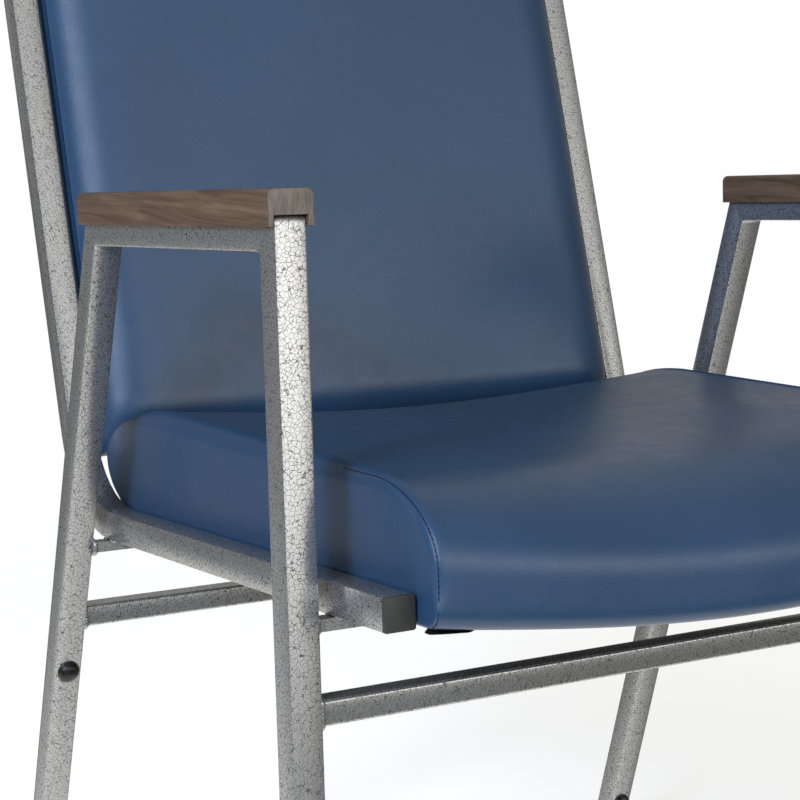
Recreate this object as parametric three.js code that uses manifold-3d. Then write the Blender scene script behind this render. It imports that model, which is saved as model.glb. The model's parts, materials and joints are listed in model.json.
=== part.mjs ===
// A fixed-back arm chair for patients and visitors: two square-tube arm frames, two L-shaped tubes
// that carry the seat and the back, cushions between them, and wooden arm pads.
// Millimetres, +Z up. The chair faces -Y, X = 0 is its middle plane, and it stands on Z = 0.
// "left" is the -X side and "right" the +X side.
import * as THREE from "three";
import { mergeVertices } from "three/addons/utils/BufferGeometryUtils.js";
import Module from "manifold-3d";

const wasm = await Module();
wasm.setup();

// ---- Driving dimensions -------------------------------------------------------------------------

const GAP = 0.3; // between pieces that touch
const TUBE = 22.2; // 7/8 inch square tube of the arm frames and the L-shaped tubes
const WALL = 1.6; // wall of every square tube
const EDGE = 2; // radius along the edges of a square tube

const FRAME_HALF_WIDTH = 310; // to the outer face of an arm frame
const ARM_HEIGHT = 660; // top of the arm tube above the floor, at its front corner
const FRONT_LEG_ANGLE = 86.7; // degrees up from +Y
const REAR_LEG_ANGLE = 106.75;
const ARM_ANGLE = -2.9;
const REAR_LEG_START = 275.7; // Y of the rear leg's front face at the height of the arm
const GLIDE_HEIGHT = 5;

const SEAT_TILT = 3.4; // degrees, lower at the back
const RAIL_BASE_HEIGHT = 411; // underside of the seat rails at Y = 0
const RAIL_OUTER_X = 276;
const RAIL_FRONT = -70; // front end of a seat rail, along the seat
const BACK_CORNER = 415; // where the rail's top line meets the upright's front line, along the seat
const BACK_RECLINE = 13.85; // degrees, upright against the seat's normal
const BEND_RADIUS = 75; // inside radius between seat rail and upright
const UPRIGHT_LENGTH = 590;
const CAP_FLANGE = 3; // thickness of a tube cap outside the tube
const PLUG_DEPTH = 14; // how far caps and glides reach into their tubes
const SCREW_HOLE = 2.8; // radius
const SCREW_SHANK = 2.5;
const ACCESS_HOLE = 6.5; // radius, in the underside of an arm

const STRETCHER = 17; // square tube between the legs
const FRONT_STRETCHER_TOP = 361;
const REAR_STRETCHER_TOP = 334.2;
const STRETCHER_LENGTH = 2 * (FRAME_HALF_WIDTH - TUBE - GAP);
const SEAT_BAR_HEIGHT = 8;
const SEAT_BAR_DEPTH = 12.7;
const SEAT_BARS = { front: -3, rear: 363 }; // centre lines along the seat

const PAD_WIDTH = 31.5;
const PAD_ABOVE = 16.5; // wood above the tube
const PAD_CHEEK = 6.5; // how far the grooved pad reaches down beside the tube
const PAD_START = -1.5; // along the arm
const PAD_END = 309;
const PAD_ROUNDING = 5;
const PAD_SCREWS_AT = [60, 235]; // along the arm

const SEAT = {
  halfWidth: 252.4, // the cushion fills the space between the rails
  front: -96, // along the seat, at its sides
  bow: 10, // extra reach at the middle of the front
  frontHeight: 89, // above the rails' underside, at its sides
  rearHeight: 102,
  frontRadius: 60,
  frontDepth: 55, // how far down the rounded front reaches
  lipRadius: 12,
  base: 1.6, // underside of the cushion above the rails' underside
  end: 410,
  noseLength: 110, // of the rear nose's slope, from the top down to its middle height
  noseHeight: 59, // where the rear nose reaches furthest back
  lowerNose: { length: 44, height: 40 }, // its turn back under
  dish: 15, // how much lower the middle of the top is
  lip: 20, // how much lower the middle of the front's lower edge is
  rounding: 10, // along the side edges
  screwsAt: 150, // to each side of the middle
};
const SKIN = 1.5; // vinyl
const BOARD = { from: -70, to: 376, halfWidth: 246.5, thickness: 12 };
const DUST_COVER = 1;

const BACK = {
  bottom: 37, // along the upright
  top: 600,
  crown: 30, // in front of the uprights, at the middle
  recess: 8, // behind the uprights' front faces, at the side edges
  roll: 52, // width of the rounded stretch beside each upright
  rear: 16, // behind the uprights' front faces
  bottomRadius: 42,
  topRadius: 30,
  rounding: 3, // along the side edges
};
const BACK_BOARD = { from: 45, to: 585, halfWidth: 246.5, thickness: 9 };
const BACK_PANEL = 2.8;
const TAB = { reach: 26, height: 34, thickness: 3, screwFromUpright: 14 };
const TABS_AT = [120, 520]; // along the upright

const BUMPER_RADIUS = 9;
const BUMPER_HEIGHT = 6.5;
const BUMPER_HEIGHTS = { upper: 280, lower: 41 }; // above the floor, on each rear leg

const SIDES = { left: -1, right: 1 };

// ---- Materials ----------------------------------------------------------------------------------

const material = (color, roughness, metalness) => () =>
  new THREE.MeshStandardMaterial({ color, roughness, metalness });
const silverVein = material(0xa9a9a4, 0.42, 0.45);
const blackPlastic = material(0x2c2c2a, 0.5, 0);
const blackRubber = material(0x101010, 0.35, 0);
const walnut = material(0x5c4638, 0.45, 0);
const blueVinyl = material(0x3c5472, 0.42, 0);
const blackCloth = material(0x17171a, 0.9, 0);
const plywood = material(0xb89a6c, 0.7, 0);
const foam = material(0xd9cf9a, 0.95, 0);
const zincSteel = material(0xb4b6b8, 0.35, 0.9);

// ---- Solids -------------------------------------------------------------------------------------

const toRadians = THREE.MathUtils.degToRad;

function solid(geometry) {
  const bare = geometry.clone();
  bare.deleteAttribute("normal");
  bare.deleteAttribute("uv");
  const merged = mergeVertices(bare, 1e-4);
  return new wasm.Manifold(
    new wasm.Mesh({
      numProp: 3,
      vertProperties: merged.attributes.position.array,
      triVerts: new Uint32Array(merged.index.array),
    }),
  );
}

function geometryOf(manifold) {
  const { vertProperties, triVerts } = manifold.getMesh();
  const geometry = new THREE.BufferGeometry();
  geometry.setAttribute("position", new THREE.BufferAttribute(vertProperties, 3));
  geometry.setIndex(new THREE.BufferAttribute(triVerts, 1));
  geometry.computeVertexNormals();
  return geometry;
}

function without(geometry, ...cutters) {
  let rest = solid(geometry);
  for (const cutter of cutters) rest = rest.subtract(solid(cutter));
  return geometryOf(rest);
}

function joined(geometry, ...others) {
  let whole = solid(geometry);
  for (const other of others) whole = whole.add(solid(other));
  return geometryOf(whole);
}

function block(x, y, z) {
  const size = [x[1] - x[0], y[1] - y[0], z[1] - z[0]];
  const middle = [(x[0] + x[1]) / 2, (y[0] + y[1]) / 2, (z[0] + z[1]) / 2];
  return new THREE.BoxGeometry(...size).translate(...middle);
}

// A rod along Z from z0 to z1.
function rod(radius, x, y, z0, z1) {
  const turned = new THREE.CylinderGeometry(radius, radius, z1 - z0, 10).rotateX(Math.PI / 2);
  return turned.translate(x, y, (z0 + z1) / 2);
}

// ---- Outlines in a YZ plane ---------------------------------------------------------------------

// A line through (y, z) whose direction is `angle` degrees up from +Y.
function ray(y, z, angle) {
  const direction = new THREE.Vector2(Math.cos(toRadians(angle)), Math.sin(toRadians(angle)));
  return { point: new THREE.Vector2(y, z), direction };
}

// The same line moved sideways, to the right of its direction.
function shifted(line, distance) {
  const right = new THREE.Vector2(line.direction.y, -line.direction.x);
  return { point: line.point.clone().addScaledVector(right, distance), direction: line.direction };
}

function meet(a, b) {
  const between = b.point.clone().sub(a.point);
  const along = between.cross(b.direction) / a.direction.cross(b.direction);
  return a.point.clone().addScaledVector(a.direction, along);
}

function arc(centre, radiusY, radiusZ, from, to, steps) {
  const points = [];
  for (let i = 0; i <= steps; i += 1) {
    const angle = toRadians(from + ((to - from) * i) / steps);
    const y = centre.x + radiusY * Math.cos(angle);
    const z = centre.y + radiusZ * Math.sin(angle);
    points.push(new THREE.Vector2(y, z));
  }
  return points;
}

// The corner at `tip` between its two neighbours, rounded to a radius.
function roundedCorner(before, tip, after, radius, steps) {
  const back = before.clone().sub(tip).normalize();
  const ahead = after.clone().sub(tip).normalize();
  const half = Math.acos(THREE.MathUtils.clamp(back.dot(ahead), -1, 1)) / 2;
  const start = tip.clone().addScaledVector(back, radius / Math.tan(half));
  const end = tip.clone().addScaledVector(ahead, radius / Math.tan(half));
  const bisector = back.add(ahead).normalize();
  const centre = tip.clone().addScaledVector(bisector, radius / Math.sin(half));
  const first = start.clone().sub(centre).angle();
  let turn = end.clone().sub(centre).angle() - first;
  if (turn > Math.PI) turn -= 2 * Math.PI;
  if (turn < -Math.PI) turn += 2 * Math.PI;
  const degrees = THREE.MathUtils.radToDeg;
  return arc(centre, radius, radius, degrees(first), degrees(first + turn), steps);
}

// The outline of a tube that follows a path of straight stretches. Each inner corner of the path
// has a radius for its left and its right side.
function tubeOutline(path, halfWidth, corners) {
  const sideOf = (side) => {
    const lines = path.slice(1).map((end, i) => {
      const direction = end.clone().sub(path[i]).normalize();
      return shifted({ point: path[i], direction }, side * halfWidth);
    });
    const last = lines.at(-1);
    const lastLength = path.at(-2).distanceTo(path.at(-1));
    const finish = last.point.clone().addScaledVector(last.direction, lastLength);
    const tips = [lines[0].point, ...lines.slice(1).map((line, i) => meet(lines[i], line)), finish];
    const points = [tips[0]];
    corners.forEach((corner, i) => {
      const radius = side > 0 ? corner.right : corner.left;
      points.push(...roundedCorner(tips[i], tips[i + 1], tips[i + 2], radius, corner.steps));
    });
    return [...points, finish];
  };
  return [...sideOf(1), ...sideOf(-1).reverse()];
}

// An outline in the YZ plane, extruded along X from x0 to x1, with rounded long edges.
function sidePlate(points, x0, x1, edge) {
  const extruded = new THREE.ExtrudeGeometry(new THREE.Shape(points), {
    depth: x1 - x0 - 2 * edge,
    bevelEnabled: edge > 0,
    bevelThickness: edge,
    bevelSize: edge,
    bevelOffset: -edge,
    bevelSegments: 2,
  });
  const axes = [new THREE.Vector3(0, 1, 0), new THREE.Vector3(0, 0, 1), new THREE.Vector3(1, 0, 0)];
  return extruded.applyMatrix4(new THREE.Matrix4().makeBasis(...axes)).translate(x0 + edge, 0, 0);
}

// A closed body through outlines in YZ planes, all with the same number of points. Each end is a
// fan of triangles round its middle.
function loft(stations) {
  const count = stations[0].points.length;
  const positions = stations.flatMap(({ x, points }) => points.flatMap((p) => [x, p.x, p.y]));
  const index = [];
  for (let i = 0; i + 1 < stations.length; i += 1) {
    for (let j = 0; j < count; j += 1) {
      const [a, b] = [i * count + j, i * count + ((j + 1) % count)];
      index.push(a, b, b + count, a, b + count, a + count);
    }
  }
  for (const end of [0, stations.length - 1]) {
    const { x, points } = stations[end];
    const middle = points.reduce((sum, p) => sum.add(p), new THREE.Vector2()).divideScalar(count);
    const hub = positions.length / 3;
    positions.push(x, middle.x, middle.y);
    for (let j = 0; j < count; j += 1) {
      const rim = [end * count + j, end * count + ((j + 1) % count)];
      index.push(hub, ...(end ? rim : rim.reverse()));
    }
  }
  const geometry = new THREE.BufferGeometry();
  geometry.setAttribute("position", new THREE.Float32BufferAttribute(positions, 3));
  geometry.setIndex(index);
  return geometry;
}

// ---- The group, its tilted seat frame, and its reclined back frame ------------------------------

const chair = new THREE.Group();
const seatFrame = new THREE.Group(); // Y along the seat rails, Z = 0 on their underside
seatFrame.position.set(0, 0, RAIL_BASE_HEIGHT);
seatFrame.rotation.x = -toRadians(SEAT_TILT);
const backFrame = new THREE.Group(); // Z along the uprights, Y = 0 on their front faces
backFrame.position.set(0, BACK_CORNER, TUBE);
backFrame.rotation.x = -toRadians(BACK_RECLINE);
seatFrame.add(backFrame);
chair.add(seatFrame);

function add(parent, name, geometry, finish) {
  const mesh = new THREE.Mesh(geometry, finish());
  mesh.name = name;
  parent.add(mesh);
  return mesh;
}

// ---- Arm frames ---------------------------------------------------------------------------------

// Centre lines of the front leg, the arm and the rear leg.
const frontLeg = shifted(ray(0, ARM_HEIGHT, FRONT_LEG_ANGLE), TUBE / 2);
const arm = shifted(ray(0, ARM_HEIGHT, ARM_ANGLE), TUBE / 2);
const rearLeg = shifted(ray(REAR_LEG_START, ARM_HEIGHT, REAR_LEG_ANGLE), TUBE / 2);
const heightLine = (z) => ray(0, z, 0);

// Where the arm pads sit: Y along the arm, Z = 0 on top of the tube.
function armPlace(side) {
  const place = new THREE.Group();
  place.position.set(side * (FRAME_HALF_WIDTH - TUBE / 2), 0, ARM_HEIGHT);
  place.rotation.x = toRadians(ARM_ANGLE);
  return place;
}

function placed(geometry, place) {
  place.updateMatrix();
  return geometry.applyMatrix4(place.matrix);
}

// One tube, mitred at its two upper corners, with its feet cut level.
function armFrame(side) {
  const outerX = side * FRAME_HALF_WIDTH;
  const [x0, x1] = [outerX, outerX - side * TUBE].sort((a, b) => a - b);
  const overrun = heightLine(-20);
  const path = [
    meet(frontLeg, overrun),
    meet(frontLeg, arm),
    meet(arm, rearLeg),
    meet(rearLeg, overrun),
  ];
  const mitre = { left: 4, right: 4, steps: 3 };
  const tube = sidePlate(tubeOutline(path, TUBE / 2, [mitre, mitre]), x0, x1, EDGE);
  const bore = tubeOutline(path, TUBE / 2 - WALL, [mitre, mitre]);
  const hollow = sidePlate(bore, x0 + WALL, x1 - WALL, 0);
  const floor = block([x0 - 5, x1 + 5], [-200, 700], [-100, GLIDE_HEIGHT]);
  const padHoles = PAD_SCREWS_AT.flatMap((y) => [
    placed(rod(SCREW_HOLE, 0, y, -TUBE / 2, 10), armPlace(side)),
    placed(rod(ACCESS_HOLE, 0, y, -2 * TUBE, -TUBE / 2), armPlace(side)),
  ]);
  const bumperHoles = Object.values(BUMPER_HEIGHTS).map((height) => {
    return placed(rod(SCREW_HOLE, 0, 0, -8, 8), bumperPlace(side, height));
  });
  return without(tube, hollow, floor, ...padHoles, ...bumperHoles);
}

// On the front face of a rear leg, with Z pointing out of that face.
function bumperPlace(side, height) {
  const place = new THREE.Group();
  const face = meet(shifted(rearLeg, -TUBE / 2), heightLine(height));
  place.position.set(side * (FRAME_HALF_WIDTH - TUBE / 2), face.x, face.y);
  place.rotation.x = toRadians(REAR_LEG_ANGLE);
  return place;
}

// A foot that closes the end of a leg: a flat base the size of the tube and a plug inside it.
function legGlide(leg, side) {
  const x = side * (FRAME_HALF_WIDTH - TUBE / 2);
  const prism = (halfWidth, z0, z1, edge) => {
    const faces = [-halfWidth, halfWidth].map((distance) => shifted(leg, distance));
    const [frontLow, rearLow] = faces.map((face) => meet(face, heightLine(z0)));
    const [frontHigh, rearHigh] = faces.map((face) => meet(face, heightLine(z1)));
    return sidePlate([frontLow, rearLow, rearHigh, frontHigh], x - halfWidth, x + halfWidth, edge);
  };
  const base = prism(TUBE / 2 + 0.6, 0, GLIDE_HEIGHT - GAP, 1);
  const plug = prism(TUBE / 2 - WALL - GAP, GLIDE_HEIGHT - 2, GLIDE_HEIGHT + PLUG_DEPTH, 0);
  return joined(base, plug);
}

// A rubber dome with a stem that sits in the hole in the leg.
function bumper() {
  const stemRadius = SCREW_HOLE - GAP;
  const stemDepth = 6;
  const dome = arc(new THREE.Vector2(0, GAP), BUMPER_RADIUS, BUMPER_HEIGHT, 0, 90, 4);
  dome.at(-1).x = 0;
  const profile = [
    new THREE.Vector2(0, -stemDepth),
    new THREE.Vector2(stemRadius, -stemDepth),
    new THREE.Vector2(stemRadius, GAP),
    ...dome,
  ];
  return new THREE.LatheGeometry(profile, 16).rotateX(Math.PI / 2);
}

// ---- Arm pads -----------------------------------------------------------------------------------

// A pan-head screw along +Z, with the underside of its head at Z = 0 and a socket in the head.
function screw(headRadius, headHeight, length) {
  const socket = 0.45 * headRadius;
  const profile = [
    [0, -headHeight / 2],
    [socket, -headHeight / 2],
    [socket, -headHeight],
    [0.75 * headRadius, -headHeight],
    [headRadius, -headHeight / 3],
    [headRadius, 0],
    [SCREW_SHANK, 0],
    [SCREW_SHANK, length - 1],
    [SCREW_SHANK - 1, length],
    [0, length],
  ].map(([radius, z]) => new THREE.Vector2(radius, z));
  return new THREE.LatheGeometry(profile, 10).rotateX(Math.PI / 2);
}

// The section is drawn across the arm: a rounded top, and a groove underneath that takes the tube.
function armPad() {
  const half = PAD_WIDTH / 2;
  const grooveHalf = TUBE / 2 + GAP;
  const corner = new THREE.Vector2(half - PAD_ROUNDING, PAD_ABOVE - PAD_ROUNDING);
  const mirrored = new THREE.Vector2(-corner.x, corner.y);
  const points = [
    new THREE.Vector2(-half, -PAD_CHEEK),
    new THREE.Vector2(-grooveHalf, -PAD_CHEEK),
    new THREE.Vector2(-grooveHalf, GAP),
    new THREE.Vector2(grooveHalf, GAP),
    new THREE.Vector2(grooveHalf, -PAD_CHEEK),
    new THREE.Vector2(half, -PAD_CHEEK),
    ...arc(corner, PAD_ROUNDING, PAD_ROUNDING, 0, 90, 5),
    ...arc(mirrored, PAD_ROUNDING, PAD_ROUNDING, 90, 180, 5),
  ];
  const edge = 1;
  const pad = new THREE.ExtrudeGeometry(new THREE.Shape(points), {
    depth: PAD_END - PAD_START - 2 * edge,
    bevelThickness: edge,
    bevelSize: edge,
    bevelOffset: -edge,
    bevelSegments: 2,
  });
  pad.rotateX(Math.PI / 2).translate(0, PAD_END - edge, 0);
  const holes = PAD_SCREWS_AT.map((y) => rod(SCREW_HOLE, 0, y, -10, 12));
  return without(pad, ...holes);
}

// From inside the tube up into the wood.
function armScrew() {
  return screw(5.5, 3.6, WALL + 2 * GAP + 11).translate(0, 0, -WALL - GAP);
}

for (const [label, side] of Object.entries(SIDES)) {
  add(chair, `arm_frame_${label}`, armFrame(side), silverVein);
  const place = armPlace(side);
  chair.add(place);
  add(place, `arm_pad_${label}`, armPad(), walnut);
  PAD_SCREWS_AT.forEach((y, i) => {
    const name = `arm_pad_screw_${label}_${i ? "rear" : "front"}`;
    add(place, name, armScrew(), zincSteel).position.y = y;
  });
  add(chair, `glide_front_${label}`, legGlide(frontLeg, side), blackPlastic);
  add(chair, `glide_rear_${label}`, legGlide(rearLeg, side), blackPlastic);
  for (const [level, height] of Object.entries(BUMPER_HEIGHTS)) {
    const spot = bumperPlace(side, height);
    chair.add(spot);
    add(spot, `stacking_bumper_${level}_${label}`, bumper(), blackRubber);
  }
}

// ---- Stretchers between the legs ----------------------------------------------------------------

function squareBar(halfLength, depth, height, edge) {
  const [y, z] = [depth / 2, height / 2];
  const points = [[-y, -z], [y, -z], [y, z], [-y, z]].map(([a, b]) => new THREE.Vector2(a, b));
  return sidePlate(points, -halfLength, halfLength, edge);
}

// A rectangle round the origin, from its lower left corner, with rounded corners.
function roundedRectangle(width, height, radius) {
  const [x, y] = [width / 2, height / 2];
  const tips = [[-x, -y], [x, -y], [x, y], [-x, y]].map((tip) => new THREE.Vector2(...tip));
  return tips.flatMap((tip, i) => {
    return roundedCorner(tips.at(i - 1), tip, tips[(i + 1) % 4], radius, 3);
  });
}

function stretcher() {
  const halfLength = STRETCHER_LENGTH / 2;
  const section = roundedRectangle(STRETCHER, STRETCHER, EDGE);
  const bore = STRETCHER - 2 * WALL;
  return without(
    sidePlate(section, -halfLength, halfLength, 0),
    squareBar(halfLength + 10, bore, bore, 0),
  );
}

function addStretcher(name, leg, top) {
  const centre = meet(leg, heightLine(top - STRETCHER / 2));
  add(chair, name, stretcher(), silverVein).position.set(0, centre.x, centre.y);
}

addStretcher("front_stretcher", frontLeg, FRONT_STRETCHER_TOP);
addStretcher("rear_stretcher", rearLeg, REAR_STRETCHER_TOP);

// ---- Seat bars, L-shaped tubes and their caps ---------------------------------------------------

function seatBar() {
  const bar = squareBar(STRETCHER_LENGTH / 2, SEAT_BAR_DEPTH, SEAT_BAR_HEIGHT, 1);
  const holes = Object.values(SIDES).map((side) => {
    return rod(SCREW_HOLE, side * SEAT.screwsAt, 0, -20, 20);
  });
  return without(bar, ...holes);
}

for (const [label, y] of Object.entries(SEAT_BARS)) {
  const bar = add(seatFrame, `seat_bar_${label}`, seatBar(), silverVein);
  bar.position.set(0, y, -GAP - SEAT_BAR_HEIGHT / 2);
}

// Seat rail and upright in one tube, drawn in the seat frame.
function seatBackTube(side) {
  const rail = ray(0, TUBE / 2, 0);
  const uprightFront = ray(BACK_CORNER, TUBE, 90 - BACK_RECLINE);
  const upright = shifted(uprightFront, TUBE / 2);
  const path = (overrun) => [
    new THREE.Vector2(RAIL_FRONT - overrun, TUBE / 2),
    meet(rail, upright),
    upright.point.clone().addScaledVector(upright.direction, UPRIGHT_LENGTH + overrun),
  ];
  const bend = (wall) => ({ left: BEND_RADIUS + wall, right: BEND_RADIUS + TUBE - wall, steps: 8 });
  const [x0, x1] = [side * RAIL_OUTER_X, side * (RAIL_OUTER_X - TUBE)].sort((a, b) => a - b);
  const tube = sidePlate(tubeOutline(path(0), TUBE / 2, [bend(0)]), x0, x1, EDGE);
  const bore = tubeOutline(path(10), TUBE / 2 - WALL, [bend(WALL)]);
  return without(tube, sidePlate(bore, x0 + WALL, x1 - WALL, 0));
}

// A square cap with its plug pointing to +Z: Z = 0 is the end of the tube.
function tubeCap() {
  const plugHalf = TUBE / 2 - WALL - GAP;
  const edge = 1;
  const flange = new THREE.ExtrudeGeometry(new THREE.Shape(roundedRectangle(TUBE, TUBE, EDGE)), {
    depth: CAP_FLANGE - 2 * edge,
    bevelThickness: edge,
    bevelSize: edge,
    bevelOffset: -edge,
    bevelSegments: 3,
  }).translate(0, 0, edge - CAP_FLANGE - GAP);
  const plug = block([-plugHalf, plugHalf], [-plugHalf, plugHalf], [-CAP_FLANGE / 2, PLUG_DEPTH]);
  return joined(flange, plug);
}

for (const [label, side] of Object.entries(SIDES)) {
  const x = side * (RAIL_OUTER_X - TUBE / 2);
  add(seatFrame, `seat_back_tube_${label}`, seatBackTube(side), silverVein);
  const railCap = add(seatFrame, `rail_cap_${label}`, tubeCap(), blackPlastic);
  railCap.position.set(x, RAIL_FRONT, TUBE / 2);
  railCap.rotation.x = -Math.PI / 2;
  const uprightCap = add(backFrame, `upright_cap_${label}`, tubeCap(), blackPlastic);
  uprightCap.position.set(x, TUBE / 2, UPRIGHT_LENGTH);
  uprightCap.rotation.x = Math.PI;
}

// ---- Seat ---------------------------------------------------------------------------------------

// One lengthwise outline of the seat cushion, `inset` inside its surface, at a place across the
// seat: from the front lip back along the underside, round the rear nose, and forward over the top.
function seatOutline(x, inset) {
  const middle = Math.cos((Math.PI / 2) * Math.min(Math.abs(x) / SEAT.halfWidth, 1));
  const front = SEAT.front - SEAT.bow * middle + inset;
  const frontTop = SEAT.frontHeight - SEAT.dish * middle - inset;
  const rearTop = SEAT.rearHeight - SEAT.dish * middle - inset;
  const lip = SEAT.base - SEAT.lip * middle + inset;
  const lipCentre = new THREE.Vector2(front + SEAT.lipRadius, lip + SEAT.lipRadius);
  const frontCentre = new THREE.Vector2(
    SEAT.front + SEAT.frontRadius,
    frontTop - SEAT.frontDepth,
  );
  const noseCentre = new THREE.Vector2(SEAT.end - SEAT.noseLength, SEAT.noseHeight);
  const lowerCentre = new THREE.Vector2(SEAT.end - SEAT.lowerNose.length, SEAT.noseHeight);
  const lowerLength = SEAT.lowerNose.length - inset;
  const lowerHeight = SEAT.lowerNose.height - inset;
  const topAt = (share) => {
    const y = THREE.MathUtils.lerp(frontCentre.x, noseCentre.x, share);
    return new THREE.Vector2(y, THREE.MathUtils.lerp(frontTop, rearTop, share));
  };
  return [
    ...arc(lipCentre, SEAT.lipRadius, SEAT.lipRadius, 180, 270, 3),
    new THREE.Vector2(BOARD.from - 8, lip),
    new THREE.Vector2(BOARD.from - 2, SEAT.base + inset),
    new THREE.Vector2(BOARD.to + 4, SEAT.base + inset),
    ...arc(lowerCentre, lowerLength, lowerHeight, -60, 0, 3),
    ...arc(noseCentre, SEAT.noseLength - inset, rearTop - SEAT.noseHeight, 0, 90, 6).slice(1),
    topAt(0.66),
    topAt(0.33),
    ...arc(frontCentre, frontCentre.x - front, SEAT.frontDepth, 90, 180, 6),
  ];
}

// Outlines across a cushion, from its left side to its right, with rounded side edges.
function cushionStations(outline, rounding, inset) {
  const half = SEAT.halfWidth - inset;
  const station = (x, extra) => ({ x, points: outline(x, inset + extra) });
  const edge = [90, 60, 30].map(toRadians).map((angle) => [
    half - rounding * (1 - Math.sin(angle)),
    rounding * (1 - Math.cos(angle)),
  ]);
  const inner = half - rounding;
  const middle = [];
  for (let i = 0; i <= 8; i += 1) middle.push(station(inner * (i / 4 - 1), 0));
  return [
    ...edge.map(([x, extra]) => station(-x, extra)),
    ...middle,
    ...edge.reverse().map(([x, extra]) => station(x, extra)),
  ];
}

const seatBody = (inset) => loft(cushionStations(seatOutline, SEAT.rounding, inset));

// The space that the board takes, open downwards.
function seatBoardSpace(clearance) {
  const across = BOARD.halfWidth + clearance;
  const top = GAP + DUST_COVER + GAP + BOARD.thickness + clearance;
  return block([-across, across], [BOARD.from - clearance, BOARD.to + clearance], [-40, top]);
}

function seatScrewHoles(z0, z1) {
  return Object.values(SEAT_BARS).flatMap((y) => {
    return Object.values(SIDES).map((side) => rod(SCREW_HOLE, side * SEAT.screwsAt, y, z0, z1));
  });
}

function seatBoard() {
  const bottom = GAP + DUST_COVER + GAP;
  const across = BOARD.halfWidth;
  const board = block([-across, across], [BOARD.from, BOARD.to], [bottom, bottom + BOARD.thickness]);
  return without(board, ...seatScrewHoles(-5, bottom + 10));
}

function seatDustCover() {
  const across = BOARD.halfWidth - 6;
  const sheet = block([-across, across], [BOARD.from + 6, BOARD.to - 6], [GAP, GAP + DUST_COVER]);
  return without(sheet, ...seatScrewHoles(-5, 5));
}

add(seatFrame, "seat_cover", without(seatBody(0), seatBody(SKIN), seatBoardSpace(2 * GAP)), blueVinyl);
add(seatFrame, "seat_foam", without(seatBody(SKIN + GAP), seatBoardSpace(GAP)), foam);
add(seatFrame, "seat_board", seatBoard(), plywood);
add(seatFrame, "seat_dust_cover", seatDustCover(), blackCloth);
for (const [row, y] of Object.entries(SEAT_BARS)) {
  for (const [label, side] of Object.entries(SIDES)) {
    const seatScrew = screw(5.5, 3.6, SEAT_BAR_HEIGHT + 11);
    const mesh = add(seatFrame, `seat_screw_${row}_${label}`, seatScrew, zincSteel);
    mesh.position.set(side * SEAT.screwsAt, y, -GAP - SEAT_BAR_HEIGHT - GAP);
  }
}

// ---- Back ---------------------------------------------------------------------------------------

// One outline of the back cushion along the upright, `inset` inside its surface.
function backOutline(x, inset) {
  const fromSide = Math.max(SEAT.halfWidth - inset - Math.abs(x), 0);
  const across = Math.min(fromSide / BACK.roll, 1);
  const crown = (BACK.crown + BACK.recess) * Math.sqrt(1 - (1 - across) ** 2) - BACK.recess;
  const front = -crown + inset;
  const rear = BACK.rear - inset;
  const bottom = BACK.bottom + inset;
  const top = BACK.top - inset;
  const step = 4;
  const depth = rear - front - step;
  const low = new THREE.Vector2(rear - step, bottom + BACK.bottomRadius);
  const high = new THREE.Vector2(rear - step, top - BACK.topRadius);
  return [
    new THREE.Vector2(rear, bottom),
    new THREE.Vector2(rear, top),
    ...arc(high, depth, BACK.topRadius, 90, 180, 4),
    new THREE.Vector2(front, (top + bottom) / 2),
    ...arc(low, depth, BACK.bottomRadius, 180, 270, 4),
  ];
}

const backBody = (inset) => loft(cushionStations(backOutline, BACK.rounding, inset));

function backBoardSpace(clearance) {
  const across = BACK_BOARD.halfWidth + clearance;
  const front = BACK.rear - GAP - BACK_BOARD.thickness - clearance;
  const height = [BACK_BOARD.from - clearance, BACK_BOARD.to + clearance];
  return block([-across, across], [front, 60], height);
}

const TAB_SCREW_X = RAIL_OUTER_X - TUBE - TAB.screwFromUpright;

// A screw hole along Y at a height on the upright.
function tabHole(side, height, y0, y1) {
  return rod(SCREW_HOLE, side * TAB_SCREW_X, -height, y0, y1).rotateX(-Math.PI / 2);
}

function backHoles(y0, y1) {
  return TABS_AT.flatMap((height) => {
    return Object.values(SIDES).map((side) => tabHole(side, height, y0, y1));
  });
}

function backBoard() {
  const across = BACK_BOARD.halfWidth;
  const rear = BACK.rear - GAP;
  const thickness = [rear - BACK_BOARD.thickness, rear];
  const board = block([-across, across], thickness, [BACK_BOARD.from, BACK_BOARD.to]);
  return without(board, ...backHoles(rear - 7.5, rear + 5));
}

// The covered sheet that closes the back cushion behind.
function backPanel() {
  const front = BACK.rear + GAP;
  const height = BACK.top - BACK.bottom - 2;
  const outline = roundedRectangle(2 * SEAT.halfWidth - 2, height, 8);
  const extrusion = { depth: BACK_PANEL, bevelEnabled: false };
  const panel = new THREE.ExtrudeGeometry(new THREE.Shape(outline), extrusion);
  panel.rotateX(Math.PI / 2).translate(0, front + BACK_PANEL, (BACK.top + BACK.bottom) / 2);
  return without(panel, ...backHoles(front - 2, front + BACK_PANEL + 2));
}

// A steel tab welded to the inner face of an upright, behind the back panel.
function backTab(side) {
  const outer = side * (RAIL_OUTER_X - TUBE - GAP);
  const [x0, x1] = [outer, outer - side * TAB.reach].sort((a, b) => a - b);
  const front = BACK.rear + GAP + BACK_PANEL + GAP;
  const plate = block([x0, x1], [front, front + TAB.thickness], [-TAB.height / 2, TAB.height / 2]);
  return without(plate, tabHole(side, 0, front - 2, front + TAB.thickness + 2));
}

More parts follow.
